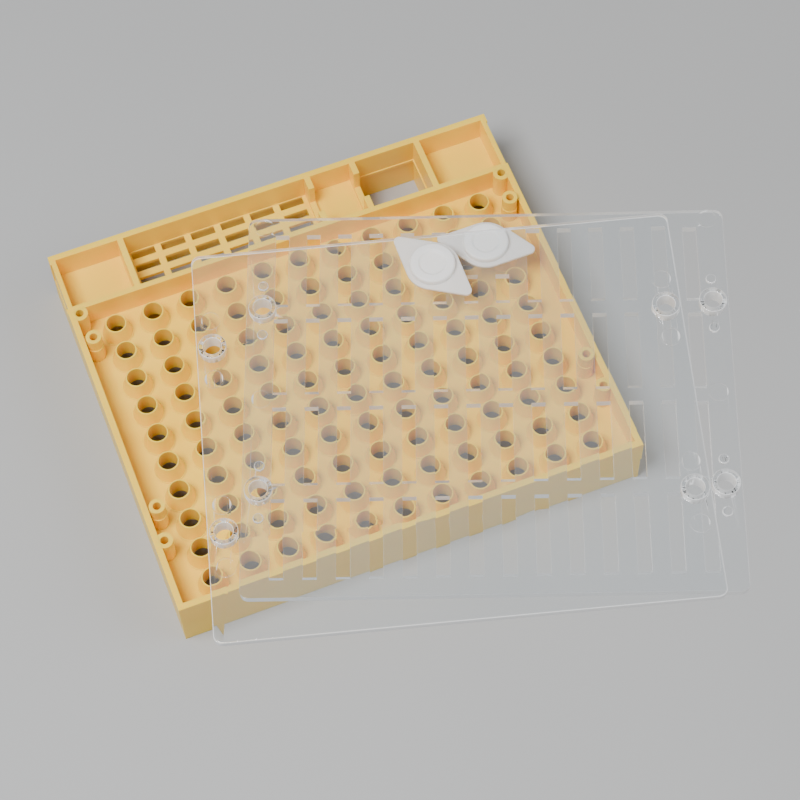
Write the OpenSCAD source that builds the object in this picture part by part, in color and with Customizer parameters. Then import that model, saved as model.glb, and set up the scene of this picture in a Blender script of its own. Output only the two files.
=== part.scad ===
// Queen-rearing cassette: a two-sided tray with a grid of cell sockets, a slotted excluder cover and
// a plain cover laid askew on top of it, and a plug in each cover's access hole.
// Millimetres, +Z up. The origin is the middle of the whole set's footprint, on the table.
// The tray is one moulding and each cover is one moulding. They are split into simple solids, so
// that each wall, floor and column of sockets is a named piece of its own.

/* [Tray] */
// Width of the tray, left to right
tray_w = 165; // [160:1:175]
// Depth of the tray, near to far
tray_d = 144; // [140:1:150]
// Height of the tray walls
tray_h = 25; // [24:0.5:28]
// Thickness of the outer walls
wall = 2.2; // [1.8:0.1:2.6]
// How far the lower half of each outer wall is set in at the parting line
parting_step = 0.25; // [0.1:0.05:0.4]
// Height of the floor's upper face
floor_top = 14.2; // [13:0.1:15]
// Thickness of the floor
floor_t = 1.6; // [1.2:0.1:2]

/* [Sockets] */
// Number of socket columns, left to right
socket_cols = 11; // [9:2:11]
// Number of socket rows, near to far
socket_rows = 10; // [8:1:10]
// Distance between columns
col_pitch = 13.6; // [13:0.1:13.8]
// Distance between rows
row_pitch = 11.45; // [11.3:0.05:11.6]
// Height of a socket above the floor
socket_h = 6.4; // [5.5:0.1:6.6]
// Radius of the bore through a socket and the floor
bore_r = 3.25; // [3:0.05:3.4]
// Outer radius of a socket at its mouth
mouth_r = 3.75; // [3.7:0.05:4]
// Outer radius of a socket at its foot
foot_r = 5.3; // [5:0.1:5.5]

/* [Header] */
// Distance of the header wall's near face from the middle of the tray
header_y = 47.8; // [47:0.1:49]
// Thickness of the header wall
header_t = 2; // [1.6:0.1:2.4]
// Thickness of a partition
partition_t = 2.2; // [1.8:0.1:2.6]
// Columns of vent slots
vent_cols = 6; // [4:1:6]
// Rows of vent slots
vent_rows = 4; // [3:1:4]
// Length of a vent slot
vent_w = 8.8; // [8:0.1:9]
// Height of a vent slot
vent_d = 2.9; // [2.4:0.1:3]

/* [Posts] */
// Distance of the stepped posts from the middle, left and right
post_x = 77.3; // [77:0.1:77.4]
// Distance of the stepped posts from the middle, near and far
post_y = 34.5; // [33:0.1:36]
// Radius of a stepped post's upper part
post_r = 2.7; // [2.4:0.1:2.8]
// How far a stepped post stands above the tray's rim
post_proud = 2; // [1:0.1:2.4]
// Radius of the blind hole in a post
post_hole_r = 1.4; // [1:0.1:1.6]

/* [Covers] */
// Width of a cover
cover_w = 166; // [165:1:170]
// Depth of a cover
cover_d = 145; // [144:1:148]
// Thickness of a cover
cover_t = 2.8; // [2.4:0.1:3]
// Radius of a cover's corners
cover_corner_r = 3; // [2:0.5:4]
// Outer radius of a collar
collar_r = 4.8; // [4.4:0.1:5]
// Radius of the hole through a collar
collar_hole_r = 3.1; // [2.9:0.05:3.3]
// Height of a collar above the cover
collar_h = 3.3; // [3:0.1:3.6]
// Distance of the access hole from the middle of a cover
access_y = 59.4; // [58:0.1:60]
// Radius of the access hole
access_r = 7; // [6.5:0.1:7.2]

/* [Excluder slots] */
// Columns of slots
slot_cols = 14; // [10:2:14]
// Rows of slots
slot_rows = 4; // [3:1:4]
// Width of a slot
slot_w = 4.7; // [4:0.1:5]
// Length of a slot
slot_l = 28.4; // [26:0.1:29]
// Distance between slot columns
slot_pitch_x = 10.94; // [10.5:0.01:11]
// Distance between slot rows
slot_pitch_y = 34.2; // [33:0.1:35]

/* [Plugs] */
// Radius of a plug's round cap
cap_r = 7.9; // [7.5:0.1:8.2]
// Half the length of a plug's lozenge flange, to the middle of its tips
flange_reach = 15.2; // [14:0.1:16]
// Radius of the flange round the cap
flange_r = 9.4; // [9:0.1:10]
// Radius of the flange's tips
flange_tip_r = 1.9; // [1.5:0.1:2.2]
// Thickness of the flange
flange_t = 1.1; // [0.9:0.1:1.3]

/* [How the covers lie] */
// Place of the excluder cover's middle on the tray, left and right
excluder_x = 40.3; // [38:0.1:42]
// Place of the excluder cover's middle on the tray, near and far
excluder_y = -38.2; // [-40:0.1:-36]
// Turn of the excluder cover on the tray
excluder_yaw = -20.7; // [-22:0.1:-19]
// Place of the plain cover's middle on the excluder cover, left and right
plain_x = -13.6; // [-15:0.1:-12]
// Place of the plain cover's middle on the excluder cover, near and far
plain_y = -11.2; // [-12:0.1:-10]
// Turn of the plain cover on the excluder cover
plain_yaw = 4.8; // [4:0.1:6]
// Turn of the plug in the excluder cover
excluder_plug_yaw = -9; // [-12:1:-6]
// Turn of the plug in the plain cover
plain_plug_yaw = -46; // [-50:1:-42]

/* [Hidden] */
$fn = 48;
CREAM = "#f2d28c";
CLEAR = [0.85, 0.9, 0.93, 0.35];
MILKY = "#eef0ee";

// Tray sizes that follow from the ones above
tray_x = tray_w / 2;
tray_y = tray_d / 2;
inner_x = tray_x - wall;
inner_y = tray_y - wall;
floor_bottom = floor_top - floor_t;
header_far_y = header_y + header_t;

// The grid of sockets is centred on the floor between the near wall and the header wall.
grid_y = (header_y - inner_y) / 2;
function socket_x(col) = (col - (socket_cols - 1) / 2) * col_pitch;
function socket_y(row) = grid_y + (row - (socket_rows - 1) / 2) * row_pitch;
socket_step_r = 5.6;
socket_step_h = 0.35;
socket_lip = 0.15;

// Partitions of the header, by the place of each one's left face
PARTITION_X = [-57.6, 12.5, 29.6, 54.3];
stub_len = 5;
low_wall_h = 1.8;
window_ledge = 0.4;
// Floor left round the field of vent slots
vent_end_margin = 1.5;
vent_side_margin = 0.35;

// Finger recess along each end of the header, in the outer face of the side walls
recess_depth = 0.5;
recess_near_y = header_far_y - 0.4;
recess_far_y = tray_y - 3.5;

// Stepped posts carry a cover's collars. Plain posts take small pins.
post_step_z = tray_h - collar_h - 0.1;
post_step_r = 2.95;
post_hole_depth = 9;
plain_post_r = 2.9;
plain_post_x = 78.8;
plain_post_y = 46.3;

// Cover details. half_w and half_d reach to the middles of the corners.
half_w = cover_w / 2 - cover_corner_r;
half_d = cover_d / 2 - cover_corner_r;
collar_x = post_x;
collar_y = post_y + 0.1;
stud_r = 1.8;
stud_h = 1;
stud_gap = 9.6;
short_slot_top = 47.4;
short_slot_cols = 2;

// Plug details. The cap stands as high as a collar, so that a cover laid on top rests on both.
cap_h = collar_h - flange_t;
dish_r = 4.3;
dish_depth = 0.7;
cap_edge = 0.5;
spigot_clearance = 0.08;
spigot_r = access_r - spigot_clearance;
spigot_wall = 1.2;
spigot_proud = 1.2;

// The excluder cover's left edge lies on the tray's rim, and its underside on the near right post.
rest_gap = 0.05;
post_in_cover = on_cover([post_x, -post_y]);
lean = atan(post_proud / (post_in_cover[0] - post_r + cover_w / 2));

// Middle of the whole set's footprint, from the extent of the two covers and the tray
plain_total_yaw = excluder_yaw + plain_yaw;
plain_mid = [
    excluder_x + plain_x * cos(excluder_yaw) - plain_y * sin(excluder_yaw),
    excluder_y + plain_x * sin(excluder_yaw) + plain_y * cos(excluder_yaw)
];
mid_x = (excluder_x + cover_reach_x(excluder_yaw) - tray_x) / 2;
near_most_y = min(
    excluder_y - cover_reach_y(excluder_yaw),
    plain_mid[1] - cover_reach_y(plain_total_yaw)
);
mid_y = (tray_y + near_most_y) / 2;

// Where a point of the tray lies in the excluder cover's own plan
function on_cover(p) = [
    (p[0] - excluder_x) * cos(excluder_yaw) + (p[1] - excluder_y) * sin(excluder_yaw),
    -(p[0] - excluder_x) * sin(excluder_yaw) + (p[1] - excluder_y) * cos(excluder_yaw)
];
// Half the extent of a turned cover with round corners
function cover_reach_x(yaw) = half_w * abs(cos(yaw)) + half_d * abs(sin(yaw)) + cover_corner_r;
function cover_reach_y(yaw) = half_w * abs(sin(yaw)) + half_d * abs(cos(yaw)) + cover_corner_r;

// ---- placing ----

module on_table() {
    translate([-mid_x, -mid_y, 0]) children();
}

module on_tray() {
    on_table() translate([excluder_x, excluder_y, tray_h + rest_gap])
        rotate([0, 0, excluder_yaw])
            translate([-cover_w / 2, 0, 0])
                rotate([0, -lean, 0])
                    translate([cover_w / 2, 0, 0]) children();
}

module on_excluder() {
    on_tray() translate([plain_x, plain_y, cover_t + collar_h + rest_gap])
        rotate([0, 0, plain_yaw]) children();
}

module box(low, high) {
    translate(low) cube(high - low);
}

module mirrored_x() {
    children();
    mirror([1, 0, 0]) children();
}

module mirrored_y() {
    children();
    mirror([0, 1, 0]) children();
}

// ---- tray ----

// A wall between two plan points. Its outer face steps in below the parting line by set_in.
module tray_wall(low, high, set_in_low, set_in_high) {
    box([low[0], low[1], floor_top], [high[0], high[1], tray_h]);
    box(
        [low[0] + set_in_low[0], low[1] + set_in_low[1], 0],
        [high[0] - set_in_high[0], high[1] - set_in_high[1], floor_top]
    );
}

module tray_wall_near() {
    color(CREAM) on_table()
        tray_wall([-inner_x, -tray_y], [inner_x, -inner_y], [0, parting_step], [0, 0]);
}

module tray_wall_far() {
    color(CREAM) on_table()
        tray_wall([-inner_x, inner_y], [inner_x, tray_y], [0, 0], [0, parting_step]);
}

module tray_wall_right() {
    color(CREAM) on_table() difference() {
        tray_wall(
            [inner_x, -tray_y], [tray_x, tray_y],
            [0, parting_step], [parting_step, parting_step]
        );
        box([tray_x - recess_depth, recess_near_y, floor_top], [tray_x + 1, recess_far_y, tray_h + 1]);
    }
}

module tray_wall_left() {
    color(CREAM) on_table() difference() {
        tray_wall(
            [-tray_x, -tray_y], [-inner_x, tray_y],
            [parting_step, parting_step], [0, parting_step]
        );
        box([-tray_x - 1, recess_near_y, floor_top], [recess_depth - tray_x, recess_far_y, tray_h + 1]);
    }
}

module header_wall() {
    color(CREAM) on_table() box([-inner_x, header_y, 0], [inner_x, header_far_y, tray_h]);
}

// A partition of the header.
// A notched one keeps a stub at each end and a low wall on both sides of the floor.
module partition(index, notched) {
    left = PARTITION_X[index];
    right = left + partition_t;
    notch_near = header_far_y + stub_len;
    notch_far = inner_y - stub_len;
    color(CREAM) on_table() difference() {
        box([left, header_far_y, 0], [right, inner_y, tray_h]);
        if (notched) {
            box([left - 1, notch_near, floor_top + low_wall_h], [right + 1, notch_far, tray_h + 1]);
            box([left - 1, notch_near, -1], [right + 1, notch_far, floor_bottom - low_wall_h]);
        }
    }
}

module header_floor(left, right) {
    color(CREAM) on_table() box([left, header_far_y, floor_bottom], [right, inner_y, floor_top]);
}

// The vent pocket's floor, with its slots centred between the partitions and the walls
module vent_grille() {
    left = PARTITION_X[0] + partition_t;
    right = PARTITION_X[1];
    first_x = left + vent_end_margin;
    first_y = header_far_y + vent_side_margin;
    pitch_x = (right - left - vent_w - 2 * vent_end_margin) / (vent_cols - 1);
    pitch_y = (inner_y - header_far_y - vent_d - 2 * vent_side_margin) / (vent_rows - 1);
    difference() {
        header_floor(left, right);
        on_table() for (i = [0 : vent_cols - 1], j = [0 : vent_rows - 1])
            translate([first_x + i * pitch_x, first_y + j * pitch_y, floor_bottom - 1])
                cube([vent_w, vent_d, floor_t + 2]);
    }
}

// The narrow ledge that is left of the floor round the window
module window_ledge_frame() {
    left = PARTITION_X[2] + partition_t;
    right = PARTITION_X[3];
    difference() {
        header_floor(left, right);
        on_table() box(
            [left + window_ledge, header_far_y + window_ledge, 0],
            [right - window_ledge, inner_y - window_ledge, tray_h]
        );
    }
}

module socket_floor() {
    color(CREAM) on_table() difference() {
        box([-inner_x, -inner_y, floor_bottom], [inner_x, header_y, floor_top]);
        for (col = [0 : socket_cols - 1], row = [0 : socket_rows - 1])
            translate([socket_x(col), socket_y(row), 0]) cylinder(r = bore_r, h = tray_h);
    }
}

// One socket: a hollow cone on a low foot, with its mouth's edges eased
module socket() {
    rotate_extrude() polygon([
        [bore_r, 0], [socket_step_r, 0], [socket_step_r, socket_step_h], [foot_r, socket_step_h],
        [mouth_r, socket_h - socket_lip], [mouth_r - socket_lip, socket_h],
        [bore_r, socket_h]
    ]);
}

module socket_column(col) {
    color(CREAM) on_table() for (row = [0 : socket_rows - 1])
        translate([socket_x(col), socket_y(row), floor_top]) socket();
}

module stepped_posts() {
    color(CREAM) on_table() mirrored_x() mirrored_y() translate([post_x, post_y, 0]) difference() {
        union() {
            translate([0, 0, floor_top]) cylinder(r = post_step_r, h = post_step_z - floor_top);
            translate([0, 0, floor_top]) cylinder(r = post_r, h = tray_h + post_proud - floor_top);
        }
        translate([0, 0, tray_h + post_proud - post_hole_depth]) cylinder(r = post_hole_r, h = tray_h);
    }
}

// All four plain posts stand in the side walls, and the far ones against the header wall too.
module plain_posts() {
    color(CREAM) on_table() difference() {
        mirrored_x() mirrored_y() difference() {
            translate([plain_post_x, plain_post_y, floor_top])
                cylinder(r = plain_post_r, h = tray_h - floor_top);
            translate([plain_post_x, plain_post_y, tray_h - post_hole_depth])
                cylinder(r = post_hole_r, h = tray_h);
            box([inner_x, 0, 0], [tray_x, tray_y, tray_h + 1]);
        }
        box([-tray_x, header_y, 0], [tray_x, tray_y, tray_h + 1]);
    }
}

// ---- covers ----

module cover_outline() {
    for (x = [-half_w, half_w], y = [-half_d, half_d])
        translate([x, y]) circle(r = cover_corner_r);
    square([cover_w - 2 * cover_corner_r, cover_d], center = true);
    square([cover_w, cover_d - 2 * cover_corner_r], center = true);
}

module cover_sheet() {
    difference() {
        linear_extrude(cover_t) cover_outline();
        translate([0, access_y, -1]) cylinder(r = access_r, h = cover_t + 2);
        mirrored_x() mirrored_y() translate([collar_x, collar_y, -1])
            cylinder(r = collar_hole_r, h = cover_t + 2);
    }
}

// The slots of one column. The middle columns stop short of the access hole.
module slot_column(col) {
    x = (col - (slot_cols - 1) / 2) * slot_pitch_x;
    is_short = abs(col - (slot_cols - 1) / 2) < short_slot_cols / 2;
    for (row = [0 : slot_rows - 1]) {
        low = (row - (slot_rows - 1) / 2) * slot_pitch_y - slot_l / 2;
        high = is_short && row == slot_rows - 1 ? short_slot_top : low + slot_l;
        box([x - slot_w / 2, low, -1], [x + slot_w / 2, high, cover_t + 1]);
    }
}

module collars() {
    mirrored_x() mirrored_y() translate([collar_x, collar_y, cover_t]) difference() {
        cylinder(r = collar_r, h = collar_h);
        translate([0, 0, -1]) cylinder(r = collar_hole_r, h = collar_h + 2);
    }
}

module excluder_cover() {
    color(CLEAR) on_tray() difference() {
        cover_sheet();
        for (col = [0 : slot_cols - 1]) slot_column(col);
    }
}

module excluder_collars() {
    color(CLEAR) on_tray() collars();
}

module excluder_studs() {
    color(CLEAR) on_tray() mirrored_x() mirrored_y() for (side = [-1, 1])
        translate([collar_x, collar_y + side * stud_gap, cover_t]) cylinder(r = stud_r, h = stud_h);
}

module plain_cover() {
    color(CLEAR) on_excluder() cover_sheet();
}

module plain_collars() {
    color(CLEAR) on_excluder() collars();
}

// ---- plugs ----

// A lozenge with round tips: a circle and two small ones, joined along their common tangents
module lozenge(reach, r, tip_r) {
    tangent = acos((r - tip_r) / reach);
    touch = [r * cos(tangent), r * sin(tangent)];
    tip = [reach + tip_r * cos(tangent), tip_r * sin(tangent)];
    circle(r = r);
    for (side = [-1, 1]) {
        translate([side * reach, 0]) circle(r = tip_r);
        turned_left(side < 0) polygon([[0, 0], touch, tip, [tip[0], -tip[1]], [touch[0], -touch[1]]]);
    }
}

module turned_left(is_left) {
    mirror([is_left ? 1 : 0, 0]) children();
}

// A plug, with the underside of its flange at zero: flange, dished cap, and a hollow spigot
// that hangs in the hole
module plug() {
    linear_extrude(flange_t) lozenge(flange_reach, flange_r, flange_tip_r);
    translate([0, 0, flange_t]) rotate_extrude() polygon([
        [0, 0], [cap_r, 0], [cap_r, cap_h - cap_edge], [cap_r - cap_edge, cap_h],
        [dish_r + dish_depth, cap_h], [dish_r, cap_h - dish_depth], [0, cap_h - dish_depth]
    ]);
    translate([0, 0, -cover_t - spigot_proud]) difference() {
        cylinder(r = spigot_r, h = cover_t + spigot_proud);
        translate([0, 0, -1]) cylinder(r = spigot_r - spigot_wall, h = cover_t + spigot_proud + 1);
    }
}

module excluder_plug() {
    color(MILKY) on_tray() translate([0, access_y, cover_t]) rotate([0, 0, excluder_plug_yaw]) plug();
}

module plain_plug() {
    color(MILKY) on_excluder() translate([0, access_y, cover_t]) rotate([0, 0, plain_plug_yaw]) plug();
}

tray_wall_near();
tray_wall_far();
tray_wall_left();
tray_wall_right();
header_wall();
partition(0, false);  // partition_1
partition(1, true);  // partition_2
partition(2, true);  // partition_3
partition(3, false);  // partition_4
header_floor(-inner_x, PARTITION_X[0]);  // header_floor_left
vent_grille();
header_floor(PARTITION_X[1] + partition_t, PARTITION_X[2]);  // header_floor_middle
window_ledge_frame();
header_floor(PARTITION_X[3] + partition_t, inner_x);  // header_floor_right
socket_floor();
stepped_posts();
plain_posts();
socket_column(0);  // socket_column_01
socket_column(1);  // socket_column_02
socket_column(2);  // socket_column_03
socket_column(3);  // socket_column_04
socket_column(4);  // socket_column_05
socket_column(5);  // socket_column_06
socket_column(6);  // socket_column_07
socket_column(7);  // socket_column_08
socket_column(8);  // socket_column_09
socket_column(9);  // socket_column_10
socket_column(10);  // socket_column_11
excluder_cover();
excluder_collars();
excluder_studs();
excluder_plug();
plain_cover();
plain_collars();
plain_plug();
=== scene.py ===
# Looks for the queen-rearing cassette: a cream tray, two clear covers and two milky plugs.
# Metres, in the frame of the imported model. The floor is the table that the tray lies on.
import math

import bmesh
import bpy
from mathutils import Matrix, Quaternion, Vector


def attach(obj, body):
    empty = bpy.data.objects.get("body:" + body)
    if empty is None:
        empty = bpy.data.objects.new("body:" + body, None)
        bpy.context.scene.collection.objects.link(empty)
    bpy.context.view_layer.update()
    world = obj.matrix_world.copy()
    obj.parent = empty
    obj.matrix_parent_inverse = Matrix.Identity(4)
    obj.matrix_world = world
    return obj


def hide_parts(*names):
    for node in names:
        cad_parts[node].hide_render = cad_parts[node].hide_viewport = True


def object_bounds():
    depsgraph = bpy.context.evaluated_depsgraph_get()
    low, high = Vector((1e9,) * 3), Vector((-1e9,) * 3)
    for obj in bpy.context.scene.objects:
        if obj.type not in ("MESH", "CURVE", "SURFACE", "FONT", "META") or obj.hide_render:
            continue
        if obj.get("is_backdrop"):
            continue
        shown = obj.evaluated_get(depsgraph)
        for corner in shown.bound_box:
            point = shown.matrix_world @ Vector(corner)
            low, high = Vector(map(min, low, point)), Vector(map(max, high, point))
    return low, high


MM = 0.001

# Camera
CAMERA_PLACE = Vector((-149.8, -365.7, 778.9)) * MM
VIEW_DIRECTION = Vector((0.15535, 0.43675, -0.88607))
CAMERA_ROLL = math.radians(1.62)
CAMERA_LENS = 112.7
SENSOR_WIDTH = 36
CAMERA_FAR = 20

# Light: name, place, size and power of each softbox, and the pale surround
LIGHTS = [("key", (-0.45, -0.1, 1.0), 0.45, 17), ("fill", (0.8, -0.4, 0.7), 0.9, 5)]
WORLD_COLOUR = (1.0, 0.985, 0.96, 1)
WORLD_STRENGTH = 0.33
FLOOR_SIZE = 6

# Rounding of moulded edges
TRAY_EDGE_R = 0.35 * MM
COVER_EDGE_R = 0.4 * MM
COLLAR_EDGE_R = 0.3 * MM
PLUG_EDGE_R = 0.22 * MM
EDGE_SEGMENTS = 2
PLUG_EDGE_SEGMENTS = 3
ROUND_PROFILE = 0.5
SHARP_ANGLE = math.radians(35)
FLAT_ANGLE = math.radians(0.5)
WELD_DISTANCE = 0.002 * MM

# Where a cover's collars stand, in its own plan
COLLAR_PLACE = (77.3 * MM, 34.6 * MM)
COLLAR_R = 4.9 * MM
ON_FACE = 0.05 * MM

# How far a plug's cap stands above its flange, and how much the flange's own height drifts as it leans
CAP_H = 2.2 * MM
FLANGE_LEAN = 0.3 * MM

# Plastics. Each drifts between two tones and two roughnesses, and has a fine bump. The scales are those
# of the noise behind each, in features per metre.
TONE_STOPS = (0.3, 0.75)
CREAM = {
    "tones": ((0.95, 0.58, 0.05, 1), (0.97, 0.64, 0.075, 1)), "tone_scale": 28,
    "roughness": (0.26, 0.4), "roughness_scale": 160,
    "bump_strength": 0.12, "bump_distance": 0.04 * MM, "bump_scale": 2600,
    "shader": {
        "IOR": 1.5, "Subsurface Weight": 0.35, "Subsurface Radius": (1.0, 0.55, 0.2),
        "Subsurface Scale": 2.5 * MM,
    },
}
CLEAR = {
    "tones": ((0.89, 0.92, 0.94, 1), (0.93, 0.95, 0.965, 1)), "tone_scale": 18,
    "roughness": (0.015, 0.05), "roughness_scale": 90,
    "bump_strength": 0.08, "bump_distance": 0.08 * MM, "bump_scale": 55,
    "shader": {"IOR": 1.49},
}
MILKY = {
    "tones": ((0.95, 0.935, 0.90, 1), (0.98, 0.97, 0.945, 1)), "tone_scale": 60,
    "roughness": (0.34, 0.5), "roughness_scale": 220,
    "bump_strength": 0.15, "bump_distance": 0.05 * MM, "bump_scale": 1800,
    "shader": {
        "IOR": 1.5, "Subsurface Weight": 0.6, "Subsurface Radius": (1.0, 0.95, 0.9),
        "Subsurface Scale": 3 * MM,
    },
}

# How clear the covers' faces are, and their walls and rounded edges. The walls and edges carry a painted
# highlight: they are whiter and less clear than the faces. CLEAR_LEVEL and CLEAR_STEEP are the upright
# parts of the normals between which one turns into the other.
CLEAR_FACE_CLARITY = 0.97
CLEAR_WALL_HIGHLIGHT_CLARITY = 0.22
CLEAR_WALL_HIGHLIGHT_COLOUR = (0.94, 0.95, 0.96, 1)
CLEAR_LEVEL = 0.985
CLEAR_STEEP = 0.8

# How clear a plug's thin flange is, and its thicker cap
FLANGE_CLARITY = 0.2
CAP_CLARITY = 0.08

# Floor paint
FLOOR_TONES = ((0.36, 0.365, 0.37, 1), (0.39, 0.395, 0.40, 1))
FLOOR_TONE_SCALE = 3
FLOOR_ROUGHNESS = 0.6

# Ejector marks on the covers: faint raised rings
MARK_R = 3.35 * MM
MARK_WIDTH = 0.4 * MM
MARK_PROUD = 0.22 * MM
MARK_SUNK = 0.25 * MM
MARK_STEPS = 48
EXCLUDER_MARKS = [(x * MM, y * MM) for x in (-77.4, 77.4) for y in (0.5, 69.0)]
PLAIN_MARKS = [(x * MM, y * MM) for x in (-77.6, 77.6) for y in (-46.2, -23.6, 23.6, 46.2)]

TRAY_SHELL_NODES = [
    "tray_wall_near", "tray_wall_far", "tray_wall_left", "tray_wall_right", "header_wall",
    "partition_1", "partition_2", "partition_3", "partition_4",
    "header_floor_left", "vent_grille", "header_floor_middle", "window_ledge_frame",
    "header_floor_right", "socket_floor",
]

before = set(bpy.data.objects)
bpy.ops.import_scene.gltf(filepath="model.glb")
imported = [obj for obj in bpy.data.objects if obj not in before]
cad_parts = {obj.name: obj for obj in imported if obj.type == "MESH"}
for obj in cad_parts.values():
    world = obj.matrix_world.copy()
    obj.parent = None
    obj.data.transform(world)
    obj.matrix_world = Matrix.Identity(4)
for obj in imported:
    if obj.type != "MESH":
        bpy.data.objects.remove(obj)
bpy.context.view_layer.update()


# ---- materials ----

def new_material(name):
    """An empty node material: (material, its nodes, its links, the Principled shader)."""
    material = bpy.data.materials.new(name)
    material.use_nodes = True
    tree = material.node_tree
    return material, tree.nodes, tree.links, tree.nodes["Principled BSDF"]


def noise(nodes, links, coords, scale, detail=3.0):
    """A noise texture over object coordinates, in features per metre."""
    texture = nodes.new("ShaderNodeTexNoise")
    texture.inputs["Scale"].default_value = scale
    texture.inputs["Detail"].default_value = detail
    links.new(coords.outputs["Object"], texture.inputs["Vector"])
    return texture


def ramp(nodes, links, source, tones):
    """A colour that drifts between two tones with a noise texture."""
    node = nodes.new("ShaderNodeValToRGB")
    for element, position, colour in zip(node.color_ramp.elements, TONE_STOPS, tones):
        element.position = position
        element.color = colour
    links.new(source.outputs["Fac"], node.inputs["Fac"])
    return node.outputs["Color"]


def map_range(nodes, links, value, from_range, to_range):
    """The value, mapped from one range to another and held at the ends."""
    node = nodes.new("ShaderNodeMapRange")
    for end, from_end, to_end in zip(("Min", "Max"), from_range, to_range):
        node.inputs[f"From {end}"].default_value = from_end
        node.inputs[f"To {end}"].default_value = to_end
    links.new(value, node.inputs["Value"])
    return node.outputs["Result"]


def plastic(name, look):
    """A plastic with look's values: (material, its shader, the colour output that drifts between tones)."""
    material, nodes, links, shader = new_material(name)
    coords = nodes.new("ShaderNodeTexCoord")
    tone = ramp(nodes, links, noise(nodes, links, coords, look["tone_scale"]), look["tones"])
    for key, value in look["shader"].items():
        shader.inputs[key].default_value = value
    drift = noise(nodes, links, coords, look["roughness_scale"])
    roughness = map_range(nodes, links, drift.outputs["Fac"], (0, 1), look["roughness"])
    links.new(roughness, shader.inputs["Roughness"])
    bump = nodes.new("ShaderNodeBump")
    bump.inputs["Strength"].default_value = look["bump_strength"]
    bump.inputs["Distance"].default_value = look["bump_distance"]
    grain = noise(nodes, links, coords, look["bump_scale"])
    links.new(grain.outputs["Fac"], bump.inputs["Height"])
    links.new(bump.outputs["Normal"], shader.inputs["Normal"])
    return material, shader, tone


def cream_plastic():
    """Satin moulded plastic that light sinks into, so that the sockets glow amber inside."""
    material, shader, tone = plastic("cream_plastic", CREAM)
    material.node_tree.links.new(tone, shader.inputs["Base Color"])
    return material


def clear_plastic():
    """Clear moulded plastic with faint flow marks. Its walls and rounded edges are painted whiter and less
    clear than its faces, a painted highlight.
    """
    material, shader, tone = plastic("clear_plastic", CLEAR)
    nodes, links = material.node_tree.nodes, material.node_tree.links
    geometry = nodes.new("ShaderNodeNewGeometry")
    normal = nodes.new("ShaderNodeSeparateXYZ")
    links.new(geometry.outputs["Normal"], normal.inputs["Vector"])
    level = nodes.new("ShaderNodeMath")
    level.operation = "ABSOLUTE"
    links.new(normal.outputs["Z"], level.inputs[0])
    steepness = map_range(nodes, links, level.outputs["Value"], (CLEAR_LEVEL, CLEAR_STEEP), (0, 1))
    clarity = map_range(nodes, links, steepness, (0, 1), (CLEAR_FACE_CLARITY, CLEAR_WALL_HIGHLIGHT_CLARITY))
    links.new(clarity, shader.inputs["Transmission Weight"])
    # Painted highlight: steep walls and rounded edges are mixed towards a whiter colour and made less clear,
    # standing in for the light that clear plastic edges catch.
    shade = nodes.new("ShaderNodeMix")
    shade.data_type = "RGBA"
    shade.inputs["B"].default_value = CLEAR_WALL_HIGHLIGHT_COLOUR
    links.new(steepness, shade.inputs["Factor"])
    links.new(tone, shade.inputs["A"])
    links.new(shade.outputs["Result"], shader.inputs["Base Color"])
    return material


def milky_plastic(name, flange_top):
    """Soft white plastic. It lets light through up to the flange's height, and less in the cap."""
    material, shader, tone = plastic(name, MILKY)
    nodes, links = material.node_tree.nodes, material.node_tree.links
    links.new(tone, shader.inputs["Base Color"])
    coords = nodes.new("ShaderNodeTexCoord")
    place = nodes.new("ShaderNodeSeparateXYZ")
    links.new(coords.outputs["Object"], place.inputs["Vector"])
    heights = (flange_top + FLANGE_LEAN, flange_top + 3 * FLANGE_LEAN)
    clarity = map_range(nodes, links, place.outputs["Z"], heights, (FLANGE_CLARITY, CAP_CLARITY))
    links.new(clarity, shader.inputs["Transmission Weight"])
    return material


def floor_paint():
    """Plain pale floor with a trace of tone."""
    material, nodes, links, shader = new_material("floor_paint")
    coords = nodes.new("ShaderNodeTexCoord")
    tone = ramp(nodes, links, noise(nodes, links, coords, FLOOR_TONE_SCALE), FLOOR_TONES)
    links.new(tone, shader.inputs["Base Color"])
    shader.inputs["Roughness"].default_value = FLOOR_ROUGHNESS
    return material


# ---- shapes ----

def merged(name, parts):
    """One object that is the union of the parts, which are meshes in the row frame."""
    piece = bpy.data.objects.new(name, parts[0])
    bpy.context.collection.objects.link(piece)
    for mesh in parts[1:]:
        tool = bpy.data.objects.new(f"{name}_tool", mesh)
        bpy.context.collection.objects.link(tool)
        union = piece.modifiers.new("union", "BOOLEAN")
        union.operation = "UNION"
        union.solver = "MANIFOLD"
        union.object = tool
        apply_modifiers(piece)
        bpy.data.objects.remove(tool)
    return piece


def apply_modifiers(piece):
    """Writes a piece's modifiers into its mesh."""
    graph = bpy.context.evaluated_depsgraph_get()
    mesh = bpy.data.meshes.new_from_object(piece.evaluated_get(graph))
    piece.modifiers.clear()
    piece.data = mesh


def node_mesh(node):
    """A welded copy of a CAD node's mesh, in the row frame."""
    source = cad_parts[node]
    mesh = source.data.copy()
    mesh.transform(source.matrix_world)
    work = bmesh.new()
    work.from_mesh(mesh)
    bmesh.ops.remove_doubles(work, verts=work.verts, dist=WELD_DISTANCE)
    work.to_mesh(mesh)
    work.free()
    return mesh


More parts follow.
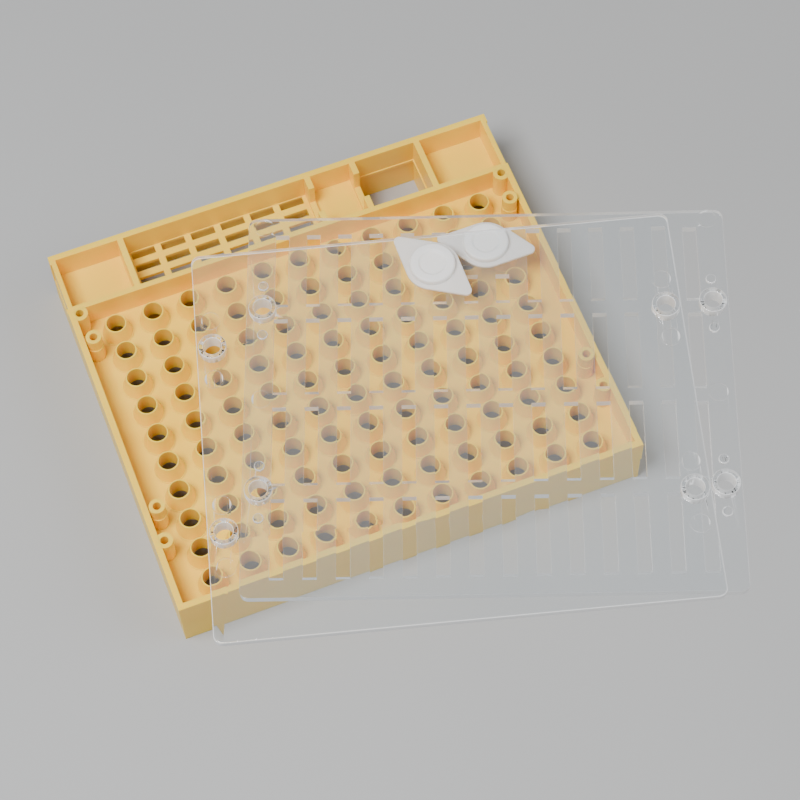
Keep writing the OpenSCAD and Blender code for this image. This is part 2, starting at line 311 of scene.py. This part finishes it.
def rounded(mesh, radius, segments=EDGE_SEGMENTS, hidden=None):
    """mesh with its flat faces joined up and its sharp edges rounded, except where hidden(point) is true."""
    work = bmesh.new()
    work.from_mesh(mesh)
    bmesh.ops.remove_doubles(work, verts=work.verts, dist=WELD_DISTANCE)
    bmesh.ops.dissolve_limit(
        work, angle_limit=FLAT_ANGLE, verts=work.verts, edges=work.edges, use_dissolve_boundaries=False
    )
    sharp = []
    for edge in work.edges:
        middle = (edge.verts[0].co + edge.verts[1].co) / 2
        is_hidden = hidden is not None and hidden(middle)
        if len(edge.link_faces) == 2 and edge.calc_face_angle() > SHARP_ANGLE and not is_hidden:
            sharp.append(edge)
    bmesh.ops.bevel(
        work, geom=sharp, offset=radius, offset_type="OFFSET", segments=segments,
        profile=ROUND_PROFILE, affect="EDGES", clamp_overlap=True,
    )
    bmesh.ops.triangulate(work, faces=work.faces)
    work.to_mesh(mesh)
    work.free()
    return mesh


def smooth_faces(piece):
    """Smooth shading that keeps large faces flat and is split at edges that are still sharp."""
    for polygon in piece.data.polygons:
        polygon.use_smooth = True
    piece.data.set_sharp_from_angle(angle=SHARP_ANGLE)
    weighted = piece.modifiers.new("weighted", "WEIGHTED_NORMAL")
    weighted.keep_sharp = True
    apply_modifiers(piece)


def finish_piece(piece, body, material, nodes):
    """Gives a piece its material and its body, and hides the CAD nodes that it stands for."""
    piece.data.materials.clear()
    piece.data.materials.append(material)
    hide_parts(*nodes)
    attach(piece, body)


def cover_frame(collars_node):
    """The matrix from a cover's plan, at its upper face, to the row frame, from its four collars."""
    mesh = node_mesh(collars_node)
    points = [v.co.copy() for v in mesh.vertices]
    middle = sum(points, Vector()) / len(points)
    groups = {}
    for point in points:
        offset = point - middle
        groups.setdefault((offset.x > 0, offset.y > 0), []).append(point)
    centres = {key: sum(g, Vector()) / len(g) for key, g in groups.items()}
    far_right, near_right = centres[(True, True)], centres[(True, False)]
    far_left, near_left = centres[(False, True)], centres[(False, False)]
    right = far_right + near_right - far_left - near_left
    far = far_right + far_left - near_right - near_left
    right.normalize()
    up = right.cross(far).normalized()
    far = up.cross(right)
    heights = [(point - middle).dot(up) for point in points]
    base = middle + up * min(heights)
    matrix = Matrix((right, far, up)).transposed().to_4x4()
    matrix.translation = base
    return matrix


def ring_mesh(name, matrix, place):
    """A low closed ring on a cover's upper face."""
    work = bmesh.new()
    rows = []
    for step in range(MARK_STEPS):
        angle = 2 * math.pi * step / MARK_STEPS
        row = []
        for radius, height in (
            (MARK_R - MARK_WIDTH / 2, -MARK_SUNK), (MARK_R + MARK_WIDTH / 2, -MARK_SUNK),
            (MARK_R + MARK_WIDTH / 2, MARK_PROUD), (MARK_R - MARK_WIDTH / 2, MARK_PROUD),
        ):
            flat = (place[0] + radius * math.cos(angle), place[1] + radius * math.sin(angle), height)
            row.append(work.verts.new(matrix @ Vector(flat)))
        rows.append(row)
    for step, row in enumerate(rows):
        following = rows[(step + 1) % MARK_STEPS]
        for side in range(4):
            after = (side + 1) % 4
            work.faces.new((row[side], following[side], following[after], row[after]))
    bmesh.ops.recalc_face_normals(work, faces=work.faces)
    mesh = bpy.data.meshes.new(name)
    work.to_mesh(mesh)
    work.free()
    return mesh


# ---- pieces ----

def make_tray(material):
    """The tray's walls, header and floors as one rounded moulding. Sockets and posts stay CAD nodes."""
    shell = merged("tray_shell", [node_mesh(node) for node in TRAY_SHELL_NODES])
    shell.data = rounded(shell.data, TRAY_EDGE_R)
    smooth_faces(shell)
    finish_piece(shell, "tray", material, TRAY_SHELL_NODES)
    for name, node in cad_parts.items():
        if name.startswith("socket_column") or name.endswith("_posts"):
            node.data.materials.clear()
            node.data.materials.append(material)


def make_cover(name, body, nodes, marks, material):
    """A clear cover with its collars, studs and ejector marks in one moulding."""
    matrix = cover_frame(f"{name}_collars")
    to_plan = matrix.inverted()

    def under_collar(point):
        """The rim of a collar's hole on the sheet's upper face, where the collar stands."""
        plan = to_plan @ point
        beside = Vector((abs(plan.x) - COLLAR_PLACE[0], abs(plan.y) - COLLAR_PLACE[1])).length
        return beside < COLLAR_R and abs(plan.z) < ON_FACE

    def on_sheet(point):
        """The foot of a collar or stud, where it joins the sheet."""
        return abs((to_plan @ point).z) < ON_FACE

    sheet_node, *small_nodes = nodes
    parts = [rounded(node_mesh(sheet_node), COVER_EDGE_R, hidden=under_collar)]
    parts += [rounded(node_mesh(node), COLLAR_EDGE_R, hidden=on_sheet) for node in small_nodes]
    parts += [ring_mesh(f"{name}_mark", matrix, place) for place in marks]
    marked = merged(f"{name}_sheet", parts)
    smooth_faces(marked)
    finish_piece(marked, body, material, nodes)
    # Clear plastic lets the softboxes' light straight through, so it casts no shadow here. It is also
    # hidden from bounced rays. When they see it, the floor below it gets a bright patch.
    marked.visible_shadow = False
    marked.visible_diffuse = False
    marked.visible_glossy = False


def make_plug(node, body):
    """A milky plug with its moulded edges rounded."""
    mesh = node_mesh(node)
    cap_top = max(vertex.co.z for vertex in mesh.vertices)
    plug = merged(f"{node}_moulding", [rounded(mesh, PLUG_EDGE_R, segments=PLUG_EDGE_SEGMENTS)])
    smooth_faces(plug)
    material = milky_plastic(f"milky_plastic_{node}", cap_top - CAP_H)
    finish_piece(plug, body, material, [node])


def make_floor(material):
    """The table, a plain pale plane under the tray."""
    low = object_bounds()[0]
    bpy.ops.mesh.primitive_plane_add(size=FLOOR_SIZE, location=(0, 0, low[2]))
    plane = bpy.context.object
    plane.name = "floor"
    plane.data.materials.append(material)
    plane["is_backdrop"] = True


def make_light(name, place, size, power):
    """A square softbox that points at the frame's origin."""
    data = bpy.data.lights.new(name, "AREA")
    data.size = size
    data.energy = power
    light = bpy.data.objects.new(name, data)
    light.location = place
    light.rotation_euler = (-Vector(place)).to_track_quat("-Z", "Y").to_euler()
    bpy.context.collection.objects.link(light)


def make_world():
    """Pale, slightly warm light from all round."""
    world = bpy.data.worlds.new("world")
    bpy.context.scene.world = world
    world.use_nodes = True
    background = world.node_tree.nodes["Background"]
    background.inputs["Color"].default_value = WORLD_COLOUR
    background.inputs["Strength"].default_value = WORLD_STRENGTH


def make_camera():
    """The photograph's viewing angle."""
    data = bpy.data.cameras.new("camera")
    data.lens = CAMERA_LENS
    data.sensor_width = SENSOR_WIDTH
    data.clip_end = CAMERA_FAR
    camera = bpy.data.objects.new("camera", data)
    camera.location = CAMERA_PLACE
    level = VIEW_DIRECTION.to_track_quat("-Z", "Y")
    camera.rotation_mode = "QUATERNION"
    camera.rotation_quaternion = Quaternion(VIEW_DIRECTION, CAMERA_ROLL) @ level
    bpy.context.collection.objects.link(camera)
    bpy.context.scene.camera = camera


make_camera()
clear = clear_plastic()
make_tray(cream_plastic())
make_cover(
    "excluder", "excluder", ["excluder_cover", "excluder_collars", "excluder_studs"], EXCLUDER_MARKS, clear
)
make_cover("plain", "plain_lid", ["plain_cover", "plain_collars"], PLAIN_MARKS, clear)
make_plug("excluder_plug", "excluder_plug")
make_plug("plain_plug", "plain_plug")
make_floor(floor_paint())
for light in LIGHTS:
    make_light(*light)
make_world()
